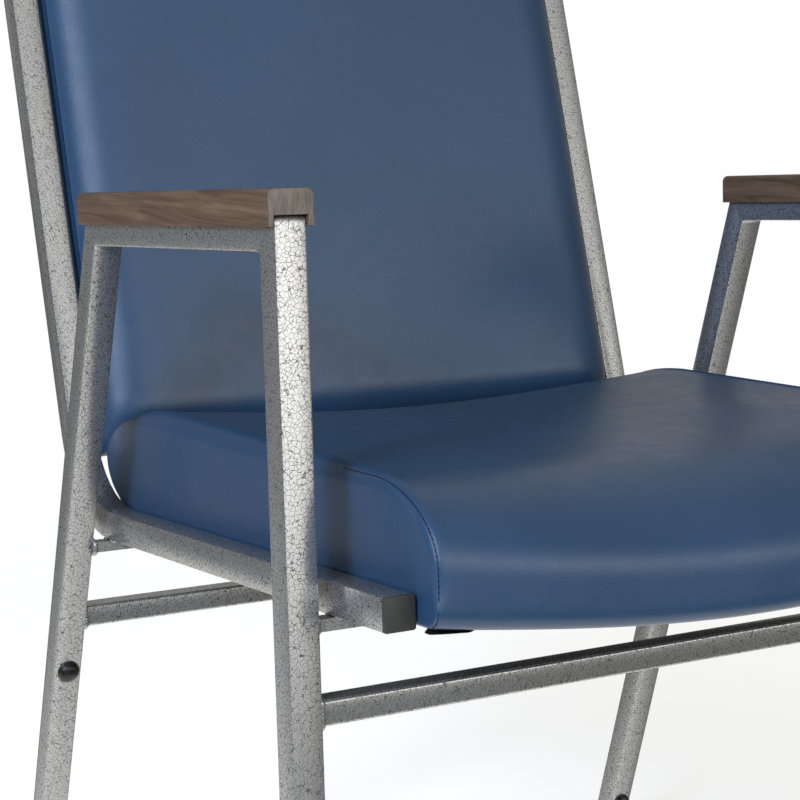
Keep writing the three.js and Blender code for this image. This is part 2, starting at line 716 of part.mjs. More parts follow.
add(backFrame, "back_cover", without(backBody(0), backBody(SKIN), backBoardSpace(2 * GAP)), blueVinyl);
add(backFrame, "back_foam", without(backBody(SKIN + GAP), backBoardSpace(GAP)), foam);
add(backFrame, "back_board", backBoard(), plywood);
add(backFrame, "back_panel", backPanel(), blueVinyl);
for (const [label, side] of Object.entries(SIDES)) {
  TABS_AT.forEach((height, i) => {
    const place = i ? "upper" : "lower";
    add(backFrame, `back_tab_${place}_${label}`, backTab(side), silverVein).position.z = height;
    const tabRear = BACK.rear + GAP + BACK_PANEL + GAP + TAB.thickness + GAP;
    const mesh = add(backFrame, `back_screw_${place}_${label}`, screw(5, 3, 14), zincSteel);
    mesh.position.set(side * TAB_SCREW_X, tabRear, height);
    mesh.rotation.x = Math.PI / 2;
  });
}

// ---- Origin -------------------------------------------------------------------------------------

// The chair's origin is on the floor, under the middle of its bounding box.
chair.updateMatrixWorld(true);
const box = new THREE.Box3().setFromObject(chair, true);
chair.position.y = -(box.min.y + box.max.y) / 2;

export default chair;
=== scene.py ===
import json
import math

import bmesh
import bpy
import numpy as np
from mathutils import Matrix, Vector, noise
from mathutils.kdtree import KDTree


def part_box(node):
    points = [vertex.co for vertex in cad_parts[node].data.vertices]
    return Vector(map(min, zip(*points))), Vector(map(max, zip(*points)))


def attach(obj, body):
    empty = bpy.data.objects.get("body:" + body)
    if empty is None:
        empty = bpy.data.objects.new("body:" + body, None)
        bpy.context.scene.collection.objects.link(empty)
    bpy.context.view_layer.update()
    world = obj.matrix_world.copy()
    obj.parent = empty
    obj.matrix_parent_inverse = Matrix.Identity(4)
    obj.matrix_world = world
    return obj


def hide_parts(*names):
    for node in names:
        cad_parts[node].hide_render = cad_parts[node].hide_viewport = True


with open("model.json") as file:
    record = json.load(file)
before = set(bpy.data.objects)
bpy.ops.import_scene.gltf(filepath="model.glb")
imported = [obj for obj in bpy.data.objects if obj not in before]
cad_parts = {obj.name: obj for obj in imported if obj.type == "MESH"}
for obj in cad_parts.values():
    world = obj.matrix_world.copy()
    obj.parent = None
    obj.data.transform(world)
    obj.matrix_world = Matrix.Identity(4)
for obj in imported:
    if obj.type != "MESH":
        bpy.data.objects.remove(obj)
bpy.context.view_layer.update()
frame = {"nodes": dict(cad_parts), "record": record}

MM = 0.001
ROOT = "root"

# ---- Design sizes, in millimetres and degrees ----

TUBE = 22.2
ARM_HEIGHT = 660
FRAME_HALF_WIDTH = 310
REAR_LEG_ANGLE = 106.75
SEAT_TILT = 3.4
BACK_RECLINE = 13.85
RAIL_OUTER_X = 276
BACK_CORNER = 415
SEAT_BAR = {"y": -3, "height": 8, "gap": 0.3}

SEAT_HALF = 252.4
BOARD = {"from": -70, "to": 376, "half": 246.5, "bottom": 1.6, "top": 13.6}
BACK_BOARD = {"from": 45, "to": 585, "half": 246.5, "front": 6.7}
CLEAR = 0.5  # between a cushion and what it touches


def middle(node):
    low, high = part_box(node)
    return (low + high) / 2


# The seat frame has Y along the rails and Z = 0 on their underside. The back frame has Z along the
# uprights and Y = 0 on their front faces. Both are in millimetres.
SEAT_TURN = Matrix.Rotation(-math.radians(SEAT_TILT), 4, "X")
bar_place = Vector((0, SEAT_BAR["y"], -SEAT_BAR["gap"] - SEAT_BAR["height"] / 2)) * MM
ORIGIN = middle("seat_bar_front") - SEAT_TURN @ bar_place
SEAT_FRAME = Matrix.Translation(ORIGIN) @ SEAT_TURN @ Matrix.Scale(MM, 4)
BACK_FRAME = (
    SEAT_FRAME
    @ Matrix.Translation((0, BACK_CORNER, TUBE))
    @ Matrix.Rotation(-math.radians(BACK_RECLINE), 4, "X")
)


# ---- Node trees ----


class Nodes:
    """Short ways to add nodes to a tree and join them. A value is a number, a colour or a socket."""

    def __init__(self, tree):
        self.tree = tree

    def set(self, node, socket, value):
        target = node.inputs[socket]
        if isinstance(value, bpy.types.NodeSocket):
            self.tree.links.new(value, target)
        elif isinstance(value, (tuple, list)) and len(value) == 3 and target.type == "RGBA":
            target.default_value = (*value, 1)
        else:
            target.default_value = value

    def node(self, kind, settings=None, **inputs):
        made = self.tree.nodes.new(kind)
        for key, value in (settings or {}).items():
            setattr(made, key, value)
        for socket, value in inputs.items():
            self.set(made, socket.replace("_", " "), value)
        return made

    def ramp(self, value, low, high, to_low=0.0, to_high=1.0):
        """A smooth step from to_low, where the value is low, to to_high."""
        made = self.node("ShaderNodeMapRange", {"interpolation_type": "SMOOTHSTEP"}, Value=value)
        limits = {"From Min": low, "From Max": high, "To Min": to_low, "To Max": to_high}
        for socket, number in limits.items():
            self.set(made, socket, number)
        return made.outputs["Result"]

    def math(self, operation, a, b=0.0):
        made = self.node("ShaderNodeMath", {"operation": operation})
        for index, value in enumerate((a, b)):
            self.set(made, index, value)
        return made.outputs[0]

    def vector(self, operation, a, b, output="Vector"):
        made = self.node("ShaderNodeVectorMath", {"operation": operation})
        for index, value in enumerate((a, b)):
            self.set(made, index, value)
        return made.outputs[output]


# ---- Camera, lights and floor ----

SENSOR_WIDTH = 36
FOCAL_LENGTH = 91.31
CAMERA_LEFT = 0.8565  # metres left of the chair's middle
CAMERA_AHEAD = 1.0851  # metres in front of the seat frame's origin
CAMERA_ABOVE_ARM = 0.0726
CAMERA_PITCH = 8.608  # degrees downwards
CAMERA_TURN = 30.283  # degrees to the right

LIGHT_PLACE = (-2.7, -1.7, 1.9)
LIGHT_TARGET = (0, 0, 0.6)
LIGHT_TINT = (0.88, 0.97, 1.22)

# Strengths of the room's parts, and the level directions they lie in.
ROOM_TINT = (1, 0.99, 0.955)
ROOM_LIGHT = 0.18
TOP_LIGHT = 0.2
FRONT_LIGHT = 1.85
UPPER_FRONT_SHARE = 0.32
BACKDROP_LIGHT = 0.15
SWEEP_LIGHT = 1.0
WINDOW_DIRECTION = (0.2, -0.98, 0)
BACKDROP_DIRECTION = (0.5, 0.87, 0)
SWEEP_DIRECTION = (-0.4, 0.92, 0)

FLOOR_RADIUS = 3.2
FLOOR_FADE = (0.35, 2.2)
FLOOR_GLOW = 0.5
FLOOR_GREY = 0.86


def make_camera():
    data = bpy.data.cameras.new("camera")
    data.sensor_width = SENSOR_WIDTH
    data.lens = FOCAL_LENGTH
    camera = bpy.data.objects.new("camera", data)
    bpy.context.scene.collection.objects.link(camera)
    camera.location = (-CAMERA_LEFT, ORIGIN.y - CAMERA_AHEAD, ARM_HEIGHT * MM + CAMERA_ABOVE_ARM)
    camera.rotation_euler = (math.radians(90 - CAMERA_PITCH), 0, -math.radians(CAMERA_TURN))
    bpy.context.scene.camera = camera


def left_light(name, size, power):
    """A cool square light, high on the chair's left."""
    data = bpy.data.lights.new(name, "AREA")
    data.size = size
    data.energy = power
    data.color = LIGHT_TINT
    light = bpy.data.objects.new(name, data)
    bpy.context.scene.collection.objects.link(light)
    place = Vector(LIGHT_PLACE)
    light.location = place
    light.rotation_euler = (Vector(LIGHT_TARGET) - place).to_track_quat("-Z", "Y").to_euler()
    light.visible_camera = False
    return light


def make_lights():
    """A large soft light, and a smaller one in it that deepens the shadows and is not mirrored."""
    left_light("left softbox", 2.0, 50)
    left_light("left key", 0.6, 60).visible_glossy = False


def make_world():
    """A soft room: a bright window in front, a white backdrop behind, a paler floor, and dim
    elsewhere. The camera sees it as plain white."""
    world = bpy.data.worlds.new("studio")
    bpy.context.scene.world = world
    world.use_nodes = True
    nodes = Nodes(world.node_tree)
    direction = nodes.node("ShaderNodeTexCoord").outputs["Generated"]
    rise = nodes.node("ShaderNodeSeparateXYZ", Vector=direction).outputs["Z"]
    fall = nodes.math("MULTIPLY", rise, -1.0)

    def towards(place, low, high):
        return nodes.ramp(nodes.vector("DOT_PRODUCT", direction, place, "Value"), low, high)

    front = towards(WINDOW_DIRECTION, 0.56, 0.97)
    behind = towards(BACKDROP_DIRECTION, 0.6, 0.85)
    sweep = towards(SWEEP_DIRECTION, -0.3, 0.4)
    horizon = nodes.ramp(rise, -0.12, 0.04, 0.0, 0.75)
    low_front = nodes.math("MULTIPLY", horizon, nodes.ramp(rise, 0.0, 0.16, 0.64, 1.65))
    high_front = nodes.ramp(rise, 0.3, 0.5, FRONT_LIGHT, UPPER_FRONT_SHARE * FRONT_LIGHT)
    window = nodes.math("MULTIPLY", low_front, high_front)
    backdrop = nodes.math("MULTIPLY", nodes.ramp(rise, -0.1, 0.05), BACKDROP_LIGHT)
    far_floor = nodes.math("MULTIPLY", sweep, nodes.ramp(fall, 0.15, 0.5))
    near_floor = nodes.ramp(fall, 0.55, 0.8)
    strength = nodes.ramp(rise, 0.2, 0.8, ROOM_LIGHT, ROOM_LIGHT + TOP_LIGHT)
    for part in (
        nodes.math("MULTIPLY", front, window),
        nodes.math("MULTIPLY", behind, backdrop),
        nodes.math("MULTIPLY", nodes.math("MAXIMUM", far_floor, near_floor), SWEEP_LIGHT),
    ):
        strength = nodes.math("ADD", strength, part)

    room = nodes.node("ShaderNodeBackground", Color=ROOM_TINT, Strength=strength)
    seen = nodes.node("ShaderNodeBackground", Color=(1, 1, 1))
    path = nodes.node("ShaderNodeLightPath")
    mix = nodes.node("ShaderNodeMixShader", Fac=path.outputs["Is Camera Ray"])
    nodes.set(mix, 1, room.outputs["Background"])
    nodes.set(mix, 2, seen.outputs["Background"])
    nodes.set(world.node_tree.nodes["World Output"], "Surface", mix.outputs["Shader"])


def make_floor():
    """A pale disc that fades into the background away from the chair."""
    bpy.ops.mesh.primitive_circle_add(vertices=96, radius=FLOOR_RADIUS, fill_type="NGON")
    floor = bpy.context.object
    floor.name = "floor"
    material = bpy.data.materials.new("floor")
    material.use_nodes = True
    nodes = Nodes(material.node_tree)
    place = nodes.node("ShaderNodeTexCoord").outputs["Object"]
    distance = nodes.vector("LENGTH", place, (0, 0, 0), "Value")
    shader = material.node_tree.nodes["Principled BSDF"]
    nodes.set(shader, "Base Color", (FLOOR_GREY, FLOOR_GREY, FLOOR_GREY))
    nodes.set(shader, "Roughness", 0.8)
    nodes.set(shader, "Emission Color", (1, 1, 1))
    nodes.set(shader, "Emission Strength", FLOOR_GLOW)
    nodes.set(shader, "Alpha", nodes.ramp(distance, *FLOOR_FADE, 1.0, 0.0))
    floor.data.materials.append(material)
    floor.visible_glossy = False


# ---- Node materials ----


class Recipe(Nodes):
    """A principled material being put together in object coordinates."""

    def __init__(self, name, **sockets):
        self.material = bpy.data.materials.new(name)
        self.material.use_nodes = True
        super().__init__(self.material.node_tree)
        self.shader = self.tree.nodes["Principled BSDF"]
        self.finish(**sockets)
        self.place = self.node("ShaderNodeTexCoord").outputs["Object"]

    def finish(self, **sockets):
        for socket, value in sockets.items():
            self.set(self.shader, socket.replace("_", " "), value)
        return self.material

    def stretched(self, scale):
        mapping = self.node("ShaderNodeMapping", Vector=self.place, Scale=scale)
        return mapping.outputs["Vector"]

    def warped(self, scale, amount):
        pattern = self.node("ShaderNodeTexNoise", Vector=self.place, Scale=scale, Detail=2.0)
        centred = self.vector("SUBTRACT", pattern.outputs["Color"], (0.5, 0.5, 0.5))
        return self.vector("ADD", self.place, self.vector("MULTIPLY", centred, (amount, amount, amount)))

    def noise(self, scale, detail=3.0, roughness=0.5, place=None, distortion=0.0):
        made = self.node(
            "ShaderNodeTexNoise",
            Vector=place or self.place,
            Scale=scale,
            Detail=detail,
            Roughness=roughness,
            Distortion=distortion,
        )
        return made.outputs["Fac"]

    def voronoi(self, scale, feature, place=None):
        settings = {"feature": feature}
        made = self.node("ShaderNodeTexVoronoi", settings, Vector=place or self.place, Scale=scale)
        return made.outputs["Distance"]

    def mix(self, share, a, b):
        made = self.node("ShaderNodeMix", {"data_type": "RGBA"})
        for index, value in ((0, share), (6, a), (7, b)):
            self.set(made, index, value)
        return made.outputs[2]

    def bump(self, height, strength, distance, below=None):
        made = self.node("ShaderNodeBump", Height=height, Strength=strength, Distance=distance)
        if below is not None:
            self.set(made, "Normal", below)
        return made.outputs["Normal"]


def silver_vein():
    """Powder coat: light metallic silver cells with thin dark veins between them, under a clear
    coat that catches the light along the edges."""
    recipe = Recipe("silver_vein", Metallic=0.85, Coat_Weight=0.3, Coat_Roughness=0.1)
    place = recipe.warped(500, 0.0016)
    edge = recipe.voronoi(340, "DISTANCE_TO_EDGE", place)
    width = recipe.ramp(recipe.noise(240, 2.0), 0.34, 0.62, 0.018, 0.052)
    vein = recipe.ramp(recipe.math("DIVIDE", edge, width), 0.4, 1.3)
    fine_edge = recipe.voronoi(800, "DISTANCE_TO_EDGE", place)
    fine_width = recipe.ramp(recipe.noise(500, 2.0), 0.5, 0.66, 0.002, 0.06)
    fine_vein = recipe.ramp(recipe.math("DIVIDE", fine_edge, fine_width), 0.2, 1.3)
    fleck = recipe.noise(2600, 2.0, 0.7)
    cell = recipe.mix(recipe.ramp(fleck, 0.3, 0.7), (0.375, 0.375, 0.37), (0.585, 0.585, 0.575))
    colour = recipe.mix(fine_vein, (0.34, 0.34, 0.335), cell)
    colour = recipe.mix(vein, (0.1, 0.1, 0.098), colour)
    normal = recipe.bump(vein, 0.2, 0.00015)
    normal = recipe.bump(fleck, 0.08, 0.0001, normal)
    roughness = recipe.ramp(vein, 0.0, 1.0, 0.5, 0.26)
    return recipe.finish(Base_Color=colour, Roughness=roughness, Normal=normal)


def blue_vinyl():
    """Semi-gloss vinyl with a fine leather grain."""
    recipe = Recipe("blue_vinyl", Specular_IOR_Level=0.55)
    cloud = recipe.noise(9, 3.0)
    colour = recipe.mix(recipe.ramp(cloud, 0.3, 0.7), (0.0155, 0.047, 0.098), (0.0185, 0.053, 0.110))
    grain = recipe.voronoi(1300, "SMOOTH_F1", recipe.warped(700, 0.0008))
    pores = recipe.noise(2300, 2.0)
    normal = recipe.bump(grain, 0.32, 0.0004)
    normal = recipe.bump(pores, 0.1, 0.0002, normal)
    roughness = recipe.ramp(recipe.noise(60, 2.0), 0.3, 0.7, 0.27, 0.33)
    return recipe.finish(Base_Color=colour, Roughness=roughness, Normal=normal)


def walnut():
    """Long grain along Y, and paler end grain on the faces that look along Y."""
    recipe = Recipe("walnut", Specular_IOR_Level=0.25)
    long_place = recipe.stretched((60, 5, 60))
    streak_place = recipe.stretched((700, 14, 700))
    figure = recipe.noise(1.6, 4.0, 0.6, long_place, 0.8)
    streaks = recipe.noise(1.0, 3.0, 0.6, streak_place)
    colour = recipe.mix(recipe.ramp(figure, 0.3, 0.7), (0.068, 0.042, 0.026), (0.15, 0.099, 0.062))
    colour = recipe.mix(recipe.ramp(streaks, 0.45, 0.75, 0.0, 0.45), colour, (0.04, 0.022, 0.014))
    end_place = recipe.stretched((1300, 1, 120))
    end_grain = recipe.noise(1.0, 3.0, 0.6, end_place)
    end_colour = recipe.mix(recipe.ramp(end_grain, 0.3, 0.7), (0.112, 0.09, 0.07), (0.185, 0.157, 0.125))
    normal = recipe.node("ShaderNodeNewGeometry").outputs["Normal"]
    facing = recipe.node("ShaderNodeSeparateXYZ", Vector=normal).outputs["Y"]
    end = recipe.ramp(recipe.math("ABSOLUTE", facing), 0.75, 0.92)
    colour = recipe.mix(end, colour, end_colour)
    normal = recipe.bump(streaks, 0.15, 0.0003)
    roughness = recipe.ramp(streaks, 0.3, 0.7, 0.56, 0.45)
    return recipe.finish(Base_Color=colour, Roughness=roughness, Normal=normal)


def black_plastic():
    recipe = Recipe("black_plastic")
    grain = recipe.noise(1500, 2.0)
    colour = recipe.mix(recipe.noise(120, 2.0), (0.024, 0.024, 0.021), (0.036, 0.036, 0.032))
    normal = recipe.bump(grain, 0.2, 0.0002)
    roughness = recipe.ramp(grain, 0.3, 0.7, 0.42, 0.55)
    return recipe.finish(Base_Color=colour, Roughness=roughness, Normal=normal)


def black_rubber():
    recipe = Recipe("black_rubber")
    dust = recipe.noise(300, 3.0)
    colour = recipe.mix(recipe.ramp(dust, 0.5, 0.8), (0.006, 0.006, 0.006), (0.016, 0.016, 0.016))
    return recipe.finish(Base_Color=colour, Roughness=recipe.ramp(dust, 0.3, 0.7, 0.2, 0.32))


def plywood():
    """Birch plywood with its grain along Y."""
    recipe = Recipe("plywood")
    grain = recipe.noise(1.0, 4.0, 0.6, recipe.stretched((300, 9, 300)))
    colour = recipe.mix(recipe.ramp(grain, 0.3, 0.7), (0.40, 0.27, 0.15), (0.56, 0.41, 0.25))
    return recipe.finish(Base_Color=colour, Roughness=0.7, Normal=recipe.bump(grain, 0.2, 0.0003))


def black_cloth():
    recipe = Recipe("black_cloth", Specular_IOR_Level=0.2)
    fibres = recipe.noise(900, 4.0, 0.7)
    dots = recipe.voronoi(480, "F1")
    colour = recipe.mix(recipe.ramp(fibres, 0.35, 0.7), (0.006, 0.006, 0.007), (0.022, 0.022, 0.024))
    normal = recipe.bump(recipe.math("MULTIPLY", fibres, dots), 0.5, 0.0004)
    return recipe.finish(Base_Color=colour, Roughness=0.9, Normal=normal)


def zinc_steel():
    recipe = Recipe("zinc_steel", Metallic=1.0)
    spangle = recipe.noise(700, 3.0)
    colour = recipe.mix(spangle, (0.45, 0.45, 0.44), (0.66, 0.66, 0.65))
    return recipe.finish(Base_Color=colour, Roughness=recipe.ramp(spangle, 0.3, 0.7, 0.25, 0.42))


# Colours the stitches, and also the continuous dark line in the seam's groove, which is painted shade.
def navy_thread_and_seam_shade():
    recipe = Recipe("navy_thread_and_seam_shade", Specular_IOR_Level=0.3)
    twist = recipe.noise(2500, 2.0)
    colour = recipe.mix(twist, (0.004, 0.007, 0.016), (0.010, 0.016, 0.032))
    return recipe.finish(Base_Color=colour, Roughness=0.7, Normal=recipe.bump(twist, 0.3, 0.0002))


MATERIALS = {
    "frame_finish": silver_vein(),
    "arm_wood": walnut(),
    "black_plastic": black_plastic(),
    "bumper_rubber": black_rubber(),
    "upholstery": blue_vinyl(),
    "foam": blue_vinyl(),
    "plywood": plywood(),
    "dust_cloth": black_cloth(),
    "screw_steel": zinc_steel(),
}
# Used for the stitches and for the seam's painted shade line.
THREAD_AND_SEAM_SHADE = navy_thread_and_seam_shade()


# ---- CAD nodes that stay ----

MERGE_DISTANCE = 0.00001  # metres
SHARP_ANGLE = 38


def finish_cad_nodes():
    """Gives every CAD node its material, and smooth shading over its rounded edges."""
    slots = {part["node"]: part["material_slot"] for part in frame["record"]["subparts"]}
    for name, node in frame["nodes"].items():
        node.data.materials.clear()
        node.data.materials.append(MATERIALS[slots[name]])
        normals = node.data.attributes.get("custom_normal")
        if normals:
            node.data.attributes.remove(normals)
        node.data.polygons.foreach_set("use_smooth", [True] * len(node.data.polygons))
        weld = node.modifiers.new("weld", "WELD")
        weld.merge_threshold = MERGE_DISTANCE
        split = node.modifiers.new("sharp edges", "EDGE_SPLIT")
        split.split_angle = math.radians(SHARP_ANGLE)


# ---- Mesh pieces ----


def make_piece(name, vertices, faces, slot, place, material=None, smooth=True):
    """A mesh object that rides on the chair, its points given in a place's frame."""
    mesh = bpy.data.meshes.new(name)
    mesh.from_pydata([tuple(v) for v in vertices], [], [tuple(f) for f in faces])
    mesh.transform(place)
    mesh.validate()
    mesh.materials.append(material or MATERIALS[slot])
    mesh.polygons.foreach_set("use_smooth", [smooth] * len(mesh.polygons))
    piece = bpy.data.objects.new(name, mesh)
    bpy.context.scene.collection.objects.link(piece)
    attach(piece, ROOT)
    return piece


def outward(piece):
    """Turns every face of a closed piece outwards, and divides its end faces into triangles."""
    mesh = bmesh.new()
    mesh.from_mesh(piece.data)
    large = [face for face in mesh.faces if len(face.verts) > 4]
    bmesh.ops.triangulate(mesh, faces=large)
    bmesh.ops.recalc_face_normals(mesh, faces=mesh.faces)
    if mesh.calc_volume(signed=True) < 0:
        bmesh.ops.reverse_faces(mesh, faces=mesh.faces)
    mesh.to_mesh(piece.data)
    mesh.free()
    return piece


def apply_modifiers(piece):
    graph = bpy.context.evaluated_depsgraph_get()
    evaluated = bpy.data.meshes.new_from_object(piece.evaluated_get(graph))
    old = piece.data
    piece.modifiers.clear()
    piece.data = evaluated
    bpy.data.meshes.remove(old)


def subdivide(piece):
    modifier = piece.modifiers.new("subdivision", "SUBSURF")
    modifier.levels = modifier.render_levels = 1
    apply_modifiers(piece)
    piece.data.polygons.foreach_set("use_smooth", [True] * len(piece.data.polygons))


def coordinates(piece):
    flat = np.empty(len(piece.data.vertices) * 3)
    piece.data.vertices.foreach_get("co", flat)
    return flat.reshape(-1, 3)


def set_coordinates(piece, points):
    piece.data.vertices.foreach_set("co", np.asarray(points, float).ravel())
    piece.data.update()


def in_frame(points, place):
    """Points of the shared frame in the frame of a place."""
    inverse = np.array(place.inverted())
    return points @ inverse[:3, :3].T + inverse[:3, 3]


def from_frame(points, place):
    matrix = np.array(place)
    return points @ matrix[:3, :3].T + matrix[:3, 3]


def line(a, b, count):
    """Points from a up to but without b."""
    return [np.array(a) + (np.array(b) - np.array(a)) * i / count for i in range(count)]


def arc(centre, radii, start, end, count):
    """Points on an ellipse from start up to but without end, in degrees."""
    angles = [math.radians(start + (end - start) * i / count) for i in range(count)]
    return [np.array(centre) + np.array(radii) * (math.cos(a), math.sin(a)) for a in angles]


def rings_to_faces(rings, count, closed=False, capped=True):
    """Quads between consecutive rings of count points each. The last ring joins the first if they
    are closed, and each end ring gets one polygon over it if they are not and are capped."""
    faces = []
    for ring in range(rings if closed else rings - 1):
        for j in range(count):
            low, high, ahead = ring * count, (ring + 1) % rings * count, (j + 1) % count
            faces.append((low + j, low + ahead, high + ahead, high + j))
    if capped and not closed:
        faces.append(tuple(reversed(range(count))))
        faces.append(tuple((rings - 1) * count + j for j in range(count)))
    return faces


# ---- Seat cushion ----

# Distances along the seat are Y and heights are Z in the seat's frame, at its sides.
SEAT = {
    "front": -96,
    "bow": 10,
    "front_height": 90,
    "rear_height": 102,
    "front_centre": (-14, 52),
    "front_ease": 8,
    "nose": (300, 59),
    "nose_reach": 117,
    "low_nose": (366, 40),
    "dish": 15,
    "lip": 20,
    "lip_radius": 12,
}


def seat_loop(x, pocket):
    """The seat's lengthwise outline at x: under the front lip and back along the underside, round
    the rear nose, forward over the top and down the front."""
    share = math.cos(math.pi / 2 * min(abs(x) / SEAT_HALF, 1))
    front = SEAT["front"] - SEAT["bow"] * share
    front_top = SEAT["front_height"] - SEAT["dish"] * share
    rear_top = SEAT["rear_height"] - SEAT["dish"] * share
    base = BOARD["bottom"]
    lip = base - SEAT["lip"] * share
    radius = SEAT["lip_radius"]
    floor = BOARD["top"] + CLEAR if pocket else base + 0.05
    start, end = BOARD["from"] - CLEAR, BOARD["to"] + CLEAR
    front_x, drop = SEAT["front_centre"]
    drop += SEAT["front_ease"] * share
    nose_y, nose_z = SEAT["nose"]
    low_nose_y, low_nose_depth = SEAT["low_nose"]
    nose_end = nose_y + SEAT["nose_reach"]
    low_nose = arc((low_nose_y, nose_z), (nose_end - low_nose_y, low_nose_depth), -62, 0, 7)
    return np.array(
        arc((front + radius, lip + radius), (radius, radius), 180, 270, 5)
        + line((front + radius, lip), (start - 8, lip), 2)
        + line((start - 8, lip), (start - 1.2, base), 3)
        + line((start - 1.2, base), (start, floor), 2)
        + line((start, floor), (end, floor), 44)
        + line((end, floor), (end, base), 3)
        + line((end, base), (end + 3.5, base), 2)
        + line((end + 3.5, base), low_nose[0], 5)
        + low_nose
        + arc((nose_y, nose_z), (SEAT["nose_reach"], rear_top - nose_z), 0, 90, 16)
        + line((nose_y, rear_top), (front_x, front_top), 36)
        + arc((front_x, front_top - drop), (front_x - front, drop), 90, 180, 16)
        + line((front, front_top - drop), (front, lip + radius), 4)
    )


def inward_normals(loop):
    """Unit normals of a closed outline, pointing into it."""
    ahead = np.roll(loop, -1, axis=0) - np.roll(loop, 1, axis=0)
    ahead /= np.linalg.norm(ahead, axis=1)[:, None]
    return np.stack([-ahead[:, 1], ahead[:, 0]], axis=1)


ROUNDING_STEPS = (90, 76, 62, 53, 45, 37, 28, 14, 0)  # degrees round the side edge
SEAM_STEP = ROUNDING_STEPS.index(45)
PANEL_STEPS = (0.95, 0.86, 0.74, 0.6, 0.46)  # distances from the spine, as shares


def cushion_rings(loop_at, rounding_of, stations, spine, half, pocket_half):
    """Half of a cushion, from its middle to its side: outlines across it, then rings that turn
    round the side edge, then rings that close the side panel towards a spine."""
    rings = []
    for x in stations:
        loop = loop_at(x, x < pocket_half)
        rings.append(np.column_stack([np.full(len(loop), float(x)), loop]))
    edge = loop_at(half, False)
    rounding = rounding_of(edge)
    normals = inward_normals(edge)
    for step in ROUNDING_STEPS:
        turn = math.radians(step)
        across = half - rounding * (1 - math.cos(turn))
        inward = (rounding * (1 - math.sin(turn)))[:, None]
        rings.append(np.column_stack([across, edge + normals * inward]))
    panel = rings[-1][:, 1:]
    nearest = closest_on(spine, panel)
    for share in PANEL_STEPS:
        inner = nearest + (panel - nearest) * share
        rings.append(np.column_stack([np.full(len(inner), float(half)), inner]))
    return rings


def closest_on(segment, points):
    start, end = (np.array(p, float) for p in segment)
    along = np.clip((points - start) @ (end - start) / ((end - start) @ (end - start)), 0, 1)
    return start + along[:, None] * (end - start)


def mirrored_cushion(rings):
    """The whole cushion's rings from left to right, out of the right half's."""
    left = [ring * np.array((-1, 1, 1)) for ring in reversed(rings[1:])]
    return left + rings


SEAT_EDGE = {"top": 13, "sewn_front": 8, "rear": 6, "underside": 2.5}


def seat_rounding(loop):
    """Radius of the side edge along the outline."""
    forward = np.clip((60 - loop[:, 0]) / 100, 0, 1)
    rear = np.clip((loop[:, 0] - 320) / 60, 0, 1)
    low = np.clip((26 - loop[:, 1]) / 12, 0, 1)
    radius = SEAT_EDGE["top"] - (SEAT_EDGE["top"] - SEAT_EDGE["sewn_front"]) * forward
    radius -= (SEAT_EDGE["top"] - SEAT_EDGE["rear"]) * rear
    return radius * (1 - low) + SEAT_EDGE["underside"] * low


# Where the seat's outlines stand, from its middle to the start of its rounded side edge.
SEAT_STATIONS = np.append(np.linspace(0, 232, 27), (238, 242.2))
SEAT_SPINE = ((-40, 42), (350, 58))


def make_seat():
    pocket = BOARD["half"] + CLEAR
    rings = cushion_rings(seat_loop, seat_rounding, SEAT_STATIONS, SEAT_SPINE, SEAT_HALF, pocket)
    rings = mirrored_cushion(rings)
    count = len(rings[0])
    faces = rings_to_faces(len(rings), count)
    piece = make_piece("seat_cushion", np.concatenate(rings), faces, "upholstery", SEAT_FRAME)
    return outward(piece), len(rings), count


# ---- Back cushion ----

# Heights are Z in the back's frame. The crown stands in front of Y = 0 and the rear behind it.
BACK = {
    "bottom": 37,
    "top": 600,
    "crown": 30,
    "recess": 8,
    "roll": 52,
    "rear": 16,
    "ease": 4,
    "ease_height": 3,
    "bottom_radius": 42,
    "top_radius": 30,
}


def back_loop(x, pocket):
    """The back's outline at x, as (Y, Z) of the back frame: up the rear, over the top, down the
    front and back under the bottom."""
    from_side = max(SEAT_HALF - abs(x), 0)
    across = min(from_side / BACK["roll"], 1)
    crown = (BACK["crown"] + BACK["recess"]) * math.sqrt(1 - (1 - across) ** 2) - BACK["recess"]
    front, rear = -crown, BACK["rear"]
    seat_side = BACK_BOARD["front"] - CLEAR if pocket else rear - 0.1
    low, high = BACK_BOARD["from"] - CLEAR, BACK_BOARD["to"] + CLEAR
    eased = rear - BACK["ease"]
    low_edge, high_edge = BACK["bottom"] + BACK["ease_height"], BACK["top"] - BACK["ease_height"]
    depth = eased - front
    low_centre = (eased, BACK["bottom"] + BACK["bottom_radius"])
    high_centre = (eased, BACK["top"] - BACK["top_radius"])
    return np.array(
        line((eased, BACK["bottom"]), (rear, low_edge), 2)
        + line((rear, low_edge), (rear, low), 2)
        + line((rear, low), (seat_side, low + 0.1), 2)
        + line((seat_side, low + 0.1), (seat_side, high - 0.1), 50)
        + line((seat_side, high - 0.1), (rear, high), 2)
        + line((rear, high), (rear, high_edge), 2)
        + line((rear, high_edge), (eased, BACK["top"]), 2)
        + arc(high_centre, (depth, BACK["top_radius"]), 90, 180, 12)
        + line((front, high_centre[1]), (front, low_centre[1]), 48)
        + arc(low_centre, (depth, BACK["bottom_radius"]), 180, 270, 14)
    )


def back_rounding(loop):
    return np.full(len(loop), 3.0)


def make_back():
    inner = SEAT_HALF - BACK["roll"]
    roll = SEAT_HALF - BACK["roll"] * (1 - np.sin(np.radians(np.linspace(0, 74, 12))))
    stations = np.concatenate([np.linspace(0, inner, 20)[:-1], roll, [SEAT_HALF - 4.4]])
    spine = ((6, 70), (6, 570))
    rings = cushion_rings(back_loop, back_rounding, stations, spine, SEAT_HALF, BACK_BOARD["half"] + CLEAR)
    rings = mirrored_cushion(rings)
    faces = rings_to_faces(len(rings), len(rings[0]))
    return outward(make_piece("back_cushion", np.concatenate(rings), faces, "upholstery", BACK_FRAME))


# ---- Cloth ----


